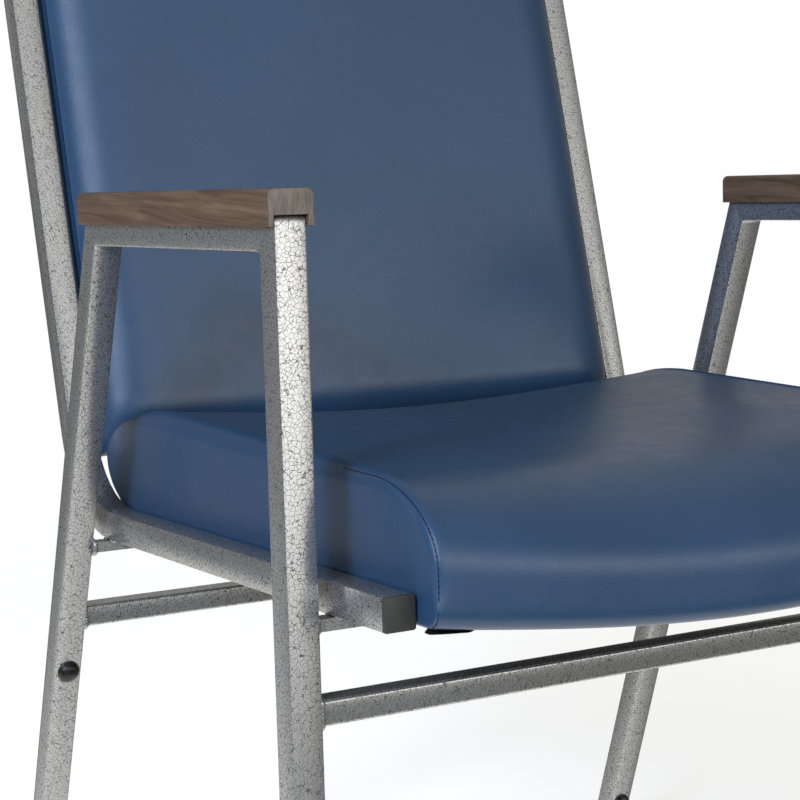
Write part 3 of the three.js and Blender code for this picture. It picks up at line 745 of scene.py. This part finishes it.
def smoothed(values, piece, rounds):
    """Values of a mesh's points, each averaged with its neighbours' a few times."""
    ends = np.array([edge.vertices[:] for edge in piece.data.edges])
    count = np.bincount(ends.ravel(), minlength=len(values))[:, None]
    for _ in range(rounds):
        total = np.zeros_like(values)
        np.add.at(total, ends[:, 0], values[ends[:, 1]])
        np.add.at(total, ends[:, 1], values[ends[:, 0]])
        values = (values + total / count) / 2
    return values


HOLD_STEPS = (0.25, 0.5, 0.75, 1.0)
SWELL_FRAMES = 20
SMOOTHING_ROUNDS = 8


def inflate(piece, held, pressure, cap):
    """Lets the cover swell under pressure, as foam pushes it, with its held points pinned. The
    movement is smoothed, and no point moves further than the cap, in metres."""
    rest = coordinates(piece)
    pins = piece.vertex_groups.new(name="held")
    for weight in HOLD_STEPS:
        chosen = np.flatnonzero(np.abs(held - weight) < HOLD_STEPS[0] / 2)
        pins.add([int(i) for i in chosen], weight, "REPLACE")
    cloth = piece.modifiers.new("cloth", "CLOTH")
    settings = cloth.settings
    settings.quality = 6
    settings.mass = 0.4
    settings.air_damping = 4
    settings.tension_stiffness = settings.compression_stiffness = 40
    settings.tension_damping = settings.compression_damping = 15
    settings.shear_stiffness = 15
    settings.bending_stiffness = 4
    settings.use_pressure = True
    settings.uniform_pressure_force = pressure
    settings.effector_weights.gravity = 0
    settings.vertex_group_mass = "held"
    scene = bpy.context.scene
    for step in range(1, SWELL_FRAMES + 1):
        scene.frame_set(step)
    graph = bpy.context.evaluated_depsgraph_get()
    swollen = piece.evaluated_get(graph).to_mesh()
    flat = np.empty(len(swollen.vertices) * 3)
    swollen.vertices.foreach_get("co", flat)
    move = flat.reshape(-1, 3) - rest
    piece.evaluated_get(graph).to_mesh_clear()
    piece.modifiers.clear()
    piece.vertex_groups.clear()
    scene.frame_set(1)
    move = smoothed(move, piece, SMOOTHING_ROUNDS)
    length = np.linalg.norm(move, axis=1)
    soft_cap = cap * np.tanh(length / cap)
    share = np.where(length > 0, soft_cap / np.maximum(length, 1e-9), 0)
    set_coordinates(piece, rest + move * share[:, None])


# ---- Beads, threads and screws ----

SIDES = ((-1, "left"), (1, "right"))


def tube_along(path, radii, axis, sides, closed=False):
    """Vertices and faces of a round tube along a path that lies in a plane at right angles to an
    axis."""
    path = np.asarray(path, float)
    axis = np.asarray(axis, float)
    if closed:
        ahead = np.roll(path, -1, axis=0) - np.roll(path, 1, axis=0)
    else:
        ahead = np.gradient(path, axis=0)
    side = np.cross(ahead, axis)
    side /= np.linalg.norm(side, axis=1)[:, None]
    angles = 2 * math.pi * np.arange(sides) / sides
    radii = np.broadcast_to(radii, len(path))
    around = np.cos(angles)[:, None] * axis + np.sin(angles)[:, None] * side[:, None, :]
    vertices = (path[:, None, :] + radii[:, None, None] * around).reshape(-1, 3)
    return vertices, rings_to_faces(len(path), sides, closed)


def join_parts(parts):
    """One list of vertices and faces out of several."""
    vertices, faces = [], []
    for more_vertices, more_faces in parts:
        start = len(vertices)
        vertices.extend(more_vertices)
        faces.extend(tuple(start + i for i in face) for face in more_faces)
    return vertices, faces


def resample(path, step, closed=False):
    """Points at an even step along a path, and the distance to each."""
    path = np.asarray(path, float)
    if closed:
        path = np.vstack([path, path[:1]])
    lengths = np.concatenate([[0], np.cumsum(np.linalg.norm(np.diff(path, axis=0), axis=1))])
    count = max(int(round(lengths[-1] / step)), 2)
    wanted = np.linspace(0, lengths[-1], count + 1)
    if closed:
        wanted = wanted[:-1]
    return np.stack([np.interp(wanted, lengths, path[:, k]) for k in range(3)], axis=1), wanted


WELD_RADIUS = 2.1
WELD_RIPPLE = 2.4
RIPPLE_HEIGHT = 0.05  # as a share of the bead's radius, as is its wander
WELD_WANDER = 0.2
WELD_TAPER = 3


def weld_bead(path, axis, closed=False):
    """A rippled weld bead along a path, its ends tapering off if it is open."""
    points, lengths = resample(path, WELD_RIPPLE / 6, closed)
    radii = WELD_RADIUS * (1 + RIPPLE_HEIGHT * np.abs(np.sin(math.pi * lengths / WELD_RIPPLE)))
    wander = np.array([noise.noise(Vector(p) / 5) for p in points])
    radii = radii * (1 + WELD_WANDER * wander)
    if not closed:
        from_end = np.minimum(lengths, lengths[-1] - lengths)
        radii = radii * np.sqrt(np.clip(from_end / WELD_TAPER, 0.02, 1))
    return tube_along(points, radii, axis, 12, closed)


def rectangle_path(centre, width, height):
    """A rectangle with cut corners round a centre, in the plane at right angles to X."""
    x, y, z = centre
    a, b = width / 2, height / 2
    cut = 1.5
    corners = ((-a + cut, -b), (a - cut, -b), (a, -b + cut), (a, b - cut))
    corners += tuple((-u, -v) for u, v in corners)
    return [(x, y + u, z + v) for u, v in corners]


LEG_INNER_X = FRAME_HALF_WIDTH - TUBE
RAIL_INNER_X = RAIL_OUTER_X - TUBE
BEAD_PROUD = 0.2  # how far a bead's centre lies outside the corner it fills


def add_stretcher_welds():
    for name in ("front_stretcher", "rear_stretcher"):
        low, high = (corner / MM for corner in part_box(name))
        _, y, z = (low + high) / 2
        size = high.y - low.y + 2 * BEAD_PROUD
        beads = []
        for side in (-1, 1):
            path = rectangle_path((side * (LEG_INNER_X - BEAD_PROUD), y, z), size, size)
            beads.append(weld_bead(path, (1, 0, 0), closed=True))
        make_piece(name + "_welds", *join_parts(beads), "frame_finish", Matrix.Scale(MM, 4))


SEAT_BAR_DEPTH = 12.7
SEAT_BARS_AT = {"front": -3, "rear": 363}


def add_seat_bar_welds():
    """Beads round the bars' ends at the legs, and along both of their sides under the rails."""
    middle_z = -SEAT_BAR["gap"] - SEAT_BAR["height"] / 2
    for name, y in SEAT_BARS_AT.items():
        beads = []
        for side in (-1, 1):
            centre = (side * (LEG_INNER_X - BEAD_PROUD), y, middle_z)
            ring = rectangle_path(centre, SEAT_BAR_DEPTH + 1, SEAT_BAR["height"] + 1)
            beads.append(weld_bead(ring, (1, 0, 0), closed=True))
            for edge in (-1, 1):
                across = y + edge * (SEAT_BAR_DEPTH / 2 + BEAD_PROUD)
                ends = [(side * x, across, -BEAD_PROUD) for x in (RAIL_INNER_X + 1, RAIL_OUTER_X - 1)]
                beads.append(weld_bead(ends, (0, 0, 1)))
        make_piece(f"seat_bar_{name}_welds", *join_parts(beads), "frame_finish", SEAT_FRAME)


TABS_AT = (120, 520)
TAB_HEIGHT = 34
TAB_REAR = 22.4


def add_tab_welds():
    for side, label in SIDES:
        beads = []
        for height in TABS_AT:
            ends = [(side * RAIL_INNER_X, TAB_REAR, height + z) for z in (-TAB_HEIGHT / 2, TAB_HEIGHT / 2)]
            beads.append(weld_bead(ends, (1, 0, 0)))
        make_piece(f"back_tab_welds_{label}", *join_parts(beads), "frame_finish", BACK_FRAME)


TURNED_SIDES = 48


def turned(profile, cut=None):
    """A turned solid from (radius, height) pairs that start and end on the Z axis. cut lowers a
    point by an amount that depends on where it is."""
    rings = []
    for radius, height in profile[1:-1]:
        angles = 2 * math.pi * np.arange(TURNED_SIDES) / TURNED_SIDES
        level = np.full(TURNED_SIDES, float(height))
        rings.append(np.stack([radius * np.cos(angles), radius * np.sin(angles), level], axis=1))
    vertices = np.concatenate([*rings, [(0, 0, profile[0][1])], [(0, 0, profile[-1][1])]])
    if cut:
        vertices[:, 2] -= cut(vertices)
    faces = rings_to_faces(len(rings), TURNED_SIDES, capped=False)
    first, last = len(vertices) - 2, len(vertices) - 1
    top = (len(rings) - 1) * TURNED_SIDES
    for j in range(TURNED_SIDES):
        ahead = (j + 1) % TURNED_SIDES
        faces.append((first, ahead, j))
        faces.append((last, top + j, top + ahead))
    return vertices, faces


def cross_recess(radius, depth):
    """How deep a cross-shaped driver recess is at each point of a screw head's top."""

    def depth_at(points):
        x, y = np.abs(points[:, 0]), np.abs(points[:, 1])
        arm = np.clip((0.16 * radius - np.minimum(x, y)) / (0.06 * radius), 0, 1)
        reach = np.clip((0.62 * radius - np.maximum(x, y)) / (0.12 * radius), 0, 1)
        return depth * arm * reach * (points[:, 2] > 0)

    return depth_at


SCREW_SHANK = 2.5
THREAD_PITCH = 1.8


def screw(size):
    """A pan-head screw along -Z, with the underside of its head at Z = 0."""
    head_radius, head_height, length = size["head_radius"], size["head_height"], size["length"]
    profile = [(0, -length), (SCREW_SHANK - 1, -length), (SCREW_SHANK - 0.5, -length + 1)]
    turns = int((length - 3) / THREAD_PITCH)
    for i in range(turns):
        z = -length + 1 + THREAD_PITCH * (i + 0.5)
        profile += [(SCREW_SHANK, z), (SCREW_SHANK - 0.5, z + THREAD_PITCH / 2)]
    profile += [(SCREW_SHANK, -0.4), (SCREW_SHANK, 0), (head_radius - 0.2, 0), (head_radius, 0.2)]
    for step in range(1, 9):
        turn = math.radians(90 * step / 8)
        profile.append((head_radius * math.cos(turn) ** 0.6, 0.2 + (head_height - 0.2) * math.sin(turn)))
    inner = [profile[-2][0] * share for share in (0.85, 0.7, 0.58, 0.46, 0.36, 0.26, 0.18, 0.1)]
    profile = profile[:-1] + [(radius, head_height) for radius in inner] + [(0, head_height)]
    return turned(profile, cross_recess(head_radius, 0.5 * head_height))


SEAT_SCREW = {"x": 150, "head_radius": 5.5, "head_height": 3.6, "length": 19}
BACK_SCREW = {"x": RAIL_INNER_X - 14, "head_radius": 5, "head_height": 3, "length": 14}


def add_screws():
    for row, y in SEAT_BARS_AT.items():
        for side, label in SIDES:
            head = Vector((side * SEAT_SCREW["x"], y, -2 * SEAT_BAR["gap"] - SEAT_BAR["height"]))
            place = SEAT_FRAME @ Matrix.Translation(head) @ Matrix.Rotation(math.pi, 4, "X")
            name = f"seat_screw_{row}_{label}"
            piece = make_piece(name + "_fine", *screw(SEAT_SCREW), "screw_steel", place)
            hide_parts(name)
    for row, height in zip(("lower", "upper"), TABS_AT):
        for side, label in SIDES:
            head = Vector((side * BACK_SCREW["x"], TAB_REAR + 0.3, height))
            place = BACK_FRAME @ Matrix.Translation(head) @ Matrix.Rotation(-math.pi / 2, 4, "X")
            name = f"back_screw_{row}_{label}"
            piece = make_piece(name + "_fine", *screw(BACK_SCREW), "screw_steel", place)
            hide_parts(name)


BUMPER = {"radius": 9, "height": 6.5, "rim": 1.35, "stem": 2.5, "depth": 6}


def add_bumpers():
    """Rubber domes with a low rim where they meet the leg."""
    radius, height, rim = BUMPER["radius"], BUMPER["height"], BUMPER["rim"]
    profile = [(0, -BUMPER["depth"]), (BUMPER["stem"], -BUMPER["depth"]), (BUMPER["stem"], 0.3)]
    profile += [(radius - 0.3, 0.3), (radius, 0.6), (radius, 1.1), (radius - 0.35, rim)]
    for step in range(1, 13):
        turn = math.radians(90 * step / 12)
        profile.append(((radius - 0.5) * math.cos(turn), rim + (height - rim) * math.sin(turn)))
    for level in ("upper", "lower"):
        for label in ("left", "right"):
            name = f"stacking_bumper_{level}_{label}"
            low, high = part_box(name)
            facing = Matrix.Rotation(math.radians(REAR_LEG_ANGLE), 4, "X")
            reach = facing @ Vector((0, 0, (height - BUMPER["depth"]) / 2 * MM))
            place = Matrix.Translation((low + high) / 2 - reach) @ facing @ Matrix.Scale(MM, 4)
            piece = make_piece(name + "_fine", *turned(profile), "bumper_rubber", place)
            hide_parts(name)


# ---- Seams ----

SEAM_FROM = 24  # the seam's upper end, along the seat
SEAM_FADE = 12  # the groove grows shallow over this length at both ends
SEAM_DEPTH = 0.25
SEAM_WIDTH = 1.2
# Radius of the dark line in the seam's groove, which is painted shade of the gap.
SEAM_SHADE_LINE_RADIUS = 0.3
STITCH_RADIUS = 0.5
STITCH_PITCH = 3.6
STITCH_LENGTH = 2.5


def seam_paths(piece, rings, count, stations):
    """The sewn edge round the seat's front on both sides, as indices of the cushion's vertices and as
    points in the seat's frame. Known fault: they are in the outline's order, so the lip's points come
    first, and the thread runs straight from them to the top, inside the cushion."""
    first = (rings - 1) // 2 + stations - 1 + SEAM_STEP + 1
    points = in_frame(coordinates(piece), SEAT_FRAME)
    paths = {}
    for label, ring in (("right", first), ("left", rings - 1 - first)):
        indices = ring * count + np.arange(count)
        ring_points = points[indices]
        front = (ring_points[:, 1] < SEAM_FROM) & (ring_points[:, 2] > 3)
        paths[label] = (indices[front], ring_points[front])
    return paths


def press_seam(piece, path):
    """Draws the surface in along a seam."""
    points = in_frame(coordinates(piece), SEAT_FRAME)
    normals = np.empty(len(piece.data.vertices) * 3)
    piece.data.vertices.foreach_get("normal", normals)
    normals = normals.reshape(-1, 3) @ np.array(SEAT_TURN)[:3, :3]
    fine, lengths = resample(path, 1.0)
    tree = KDTree(len(fine))
    for i, p in enumerate(fine):
        tree.insert(p, i)
    tree.balance()
    for i, point in enumerate(points):
        _, index, distance = tree.find(point)
        if distance > 4 * SEAM_WIDTH:
            continue
        from_end = min(lengths[index], lengths[-1] - lengths[index])
        fade = min(1, from_end / SEAM_FADE)
        pull = SEAM_DEPTH * fade * math.exp(-((distance / SEAM_WIDTH) ** 2))
        points[i] -= normals[i] * pull
    set_coordinates(piece, from_frame(points, SEAT_FRAME))


def add_seam(name, path):
    """A thin dark line along the groove, painted shade of the seam's gap in the thread's colour, with the
    stitches over it.
    """
    fine, _ = resample(path, 0.9)
    # The continuous line is painted shade: a dark tube where the groove's gap falls in shade.
    parts = [tube_along(fine, SEAM_SHADE_LINE_RADIUS, (1, 0, 0), 8)]
    steps, _ = resample(path, STITCH_PITCH)
    for a, b in zip(steps[:-1], steps[1:]):
        share = STITCH_LENGTH / STITCH_PITCH
        along = [a + (b - a) * (0.5 + share * (t - 0.5)) for t in np.linspace(0, 1, 7)]
        radii = STITCH_RADIUS * np.sqrt(np.clip(1 - np.linspace(-1, 1, 7) ** 2, 0.06, 1))
        parts.append(tube_along(along, radii, (1, 0, 0), 8))
    make_piece(name, *join_parts(parts), "upholstery", SEAT_FRAME, THREAD_AND_SEAM_SHADE)


SEAT_SWELL = {"pressure": 1.5, "cap": 5}
BACK_SWELL = {"pressure": 1.0, "cap": 4}
# Where a cover's hold begins and where it is full, outwards from the middle, along Y and along Z.
SEAT_HOLD = ((205, 235), (330, 390), (30, 20))
BACK_HOLD = ((180, 220), (-6, 2), (110, 70))


def hold(points, limits):
    """How firmly a cover is held at each point, from 0 to 1."""
    places = (np.abs(points[:, 0]), points[:, 1], points[:, 2])
    shares = [(place - begin) / (full - begin) for place, (begin, full) in zip(places, limits)]
    return np.clip(np.max(shares, axis=0), 0, 1)


def upholster_seat():
    piece, rings, count = make_seat()
    held = hold(in_frame(coordinates(piece), SEAT_FRAME), SEAT_HOLD)
    inflate(piece, held, SEAT_SWELL["pressure"], SEAT_SWELL["cap"] * MM)
    subdivide(piece)
    paths = seam_paths(piece, rings, count, len(SEAT_STATIONS))
    for _, path in paths.values():
        press_seam(piece, path)
    for label, (indices, _) in paths.items():
        add_seam(f"seat_seam_{label}", in_frame(coordinates(piece)[indices], SEAT_FRAME))
    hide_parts("seat_cover", "seat_foam")


def upholster_back():
    piece = make_back()
    held = hold(in_frame(coordinates(piece), BACK_FRAME), BACK_HOLD)
    inflate(piece, held, BACK_SWELL["pressure"], BACK_SWELL["cap"] * MM)
    subdivide(piece)
    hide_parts("back_cover", "back_foam")


# ---- Underside and rear ----

DUST_INSET = 6
DUST_HALF = BOARD["half"] - DUST_INSET
DUST_FROM = BOARD["from"] + DUST_INSET
DUST_TO = BOARD["to"] - DUST_INSET
DUST_LEVEL = 1.2
DUST_SAG = 2.2
DUST_WAVES = 0.25
TONGUE = {"middle": 232, "half": 20, "reach": 24, "drop": 0.4, "spread": 11.5}


def dust_cover_point(x, share):
    """A point of the dust cover, from its front edge at share 0 to its rear edge at 1. The cloth
    sags between the seat bars, and is tucked forward under the lip at its two front corners."""
    tongue = math.cos(math.pi / 2 * min(abs(abs(x) - TONGUE["middle"]) / TONGUE["half"], 1)) ** 0.5
    first = DUST_FROM - TONGUE["reach"] * tongue
    y = first + (DUST_TO - first) * share
    sag_from, sag_to = SEAT_BARS_AT["front"] + 8, SEAT_BARS_AT["rear"] - 8
    slack = math.sin(math.pi * min(max((y - sag_from) / (sag_to - sag_from), 0), 1))
    drop = DUST_SAG * slack * max(math.cos(math.pi / 2 * x / DUST_HALF), 0) ** 0.5
    drop += DUST_WAVES * noise.noise(Vector((x, y, 0)) / 40) * slack
    tuck = min(max((DUST_FROM - 4 - y) / 10, 0), 1)
    lip = SEAT["lip"] * math.cos(math.pi / 2 * abs(x) / SEAT_HALF)
    drop += tuck * (0.6 + lip + TONGUE["drop"] * tongue**2)
    outer = min(max((abs(x) - TONGUE["middle"]) / (DUST_HALF - TONGUE["middle"]), 0), 1)
    return x + math.copysign(TONGUE["spread"] * tuck * outer, x), y, DUST_LEVEL - drop


def add_dust_cover():
    """Black cloth stretched under the seat board."""
    outer = np.linspace(190, DUST_HALF, 29)  # closer together near the tongues
    columns = np.concatenate([-outer[::-1], np.linspace(-180, 180, 31), outer])
    rows = np.linspace(0, 1, 89) ** 1.4
    vertices = [dust_cover_point(x, share) for share in rows for x in columns]
    count = len(columns)
    faces = []
    for j in range(len(rows) - 1):
        for i in range(count - 1):
            a = j * count + i
            faces.append((a, a + count, a + count + 1, a + 1))
    piece = make_piece("dust_cover_cloth", vertices, faces, "dust_cloth", SEAT_FRAME)
    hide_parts("seat_dust_cover")


TURNED_EDGE = {"outer": 0.4, "width": 22, "low": 1.33, "thickness": 0.22}
STAPLE = {"crown": 11, "wire": 0.45, "pitch": 48, "inset": 5}


def add_staples():
    """Staples round the dust cover's edge, each a flat crown with two short legs."""
    half = DUST_HALF - STAPLE["inset"]
    start, end = DUST_FROM + STAPLE["inset"], DUST_TO - STAPLE["inset"]
    corners = [(-half, start, 0), (half, start, 0), (half, end, 0), (-half, end, 0)]
    reach = STAPLE["crown"] / 2
    bent = [(reach - 0.6, 0.3), (reach, 0.7), (reach, 1.4)]
    outline = [(-u, z) for u, z in reversed(bent)] + bent
    parts = []
    for i, corner in enumerate(corners):
        a, b = np.array(corner, float), np.array(corners[(i + 1) % 4], float)
        ahead = (b - a) / np.linalg.norm(b - a)
        side = np.cross(ahead, (0, 0, 1))
        count = int(np.linalg.norm(b - a) / STAPLE["pitch"])
        for k in range(count):
            centre = a + (b - a) * (k + 0.5) / count
            path = [centre + ahead * u + np.array((0, 0, z)) for u, z in outline]
            parts.append(tube_along(path, STAPLE["wire"], side, 6))
    make_piece("dust_cover_staples", *join_parts(parts), "screw_steel", SEAT_FRAME)


def add_turned_edge():
    """The seat cover's edge, turned under the board all round. The dust cover hides its inner edge."""
    outer, width = TURNED_EDGE["outer"], TURNED_EDGE["width"]
    half, start, end = BOARD["half"] + outer, BOARD["from"] - outer, BOARD["to"] + outer
    rings = []
    for inset, z in ((0, 0), (0, 1), (width, 1), (width, 0)):
        x, low, high = half - inset, start + inset, end - inset
        height = TURNED_EDGE["low"] + TURNED_EDGE["thickness"] * z
        rings.append([(-x, low, height), (x, low, height), (x, high, height), (-x, high, height)])
    faces = rings_to_faces(4, 4, closed=True)
    vertices = [point for ring in rings for point in ring]
    outward(make_piece("seat_cover_turned_edge", vertices, faces, "upholstery", SEAT_FRAME, smooth=False))


def add_back_panel():
    """The covered panel behind the back: a thin pad with rounded edges."""
    half = SEAT_HALF - 1
    low, high = BACK["bottom"] + 1, BACK["top"] - 1
    front, rear = BACK["rear"] + 0.35, BACK["rear"] + 0.3 + 2.75
    corner = 8
    outline = []
    centres = ((half - corner, high - corner, 0), (corner - half, high - corner, 90))
    centres += ((corner - half, low + corner, 180), (half - corner, low + corner, 270))
    for x, z, turn in centres:
        outline += arc((x, z), (corner, corner), turn, turn + 90 + 90 / 8, 9)
    points, _ = resample([(x, 0, z) for x, z in outline], 9, closed=True)
    outline = points[:, (0, 2)]
    centre = np.array((0, (low + high) / 2))
    reach = np.linalg.norm(outline - centre, axis=1)[:, None]
    thickness = rear - front
    steps = [(0.6, 0), (0.15, 0.12 * thickness), (0, 0.45 * thickness), (0.35, 0.78 * thickness)]
    steps += [(1.1, 0.94 * thickness), (2.4, thickness), (8, thickness), (20, thickness)]
    rings = []
    for inset, depth in steps:
        inner = outline - (outline - centre) / reach * inset
        rings.append(np.column_stack([inner[:, 0], np.full(len(inner), front + depth), inner[:, 1]]))
    faces = rings_to_faces(len(rings), len(outline))
    piece = outward(make_piece("back_panel_pad", np.concatenate(rings), faces, "upholstery", BACK_FRAME))
    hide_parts("back_panel")


# ---- The chair ----

make_camera()
make_world()
make_lights()
make_floor()
finish_cad_nodes()
upholster_seat()
upholster_back()
add_stretcher_welds()
add_seat_bar_welds()
add_tab_welds()
add_screws()
add_bumpers()
add_dust_cover()
add_staples()
add_turned_edge()
add_back_panel()

bpy.context.scene.view_settings.view_transform = "Standard"
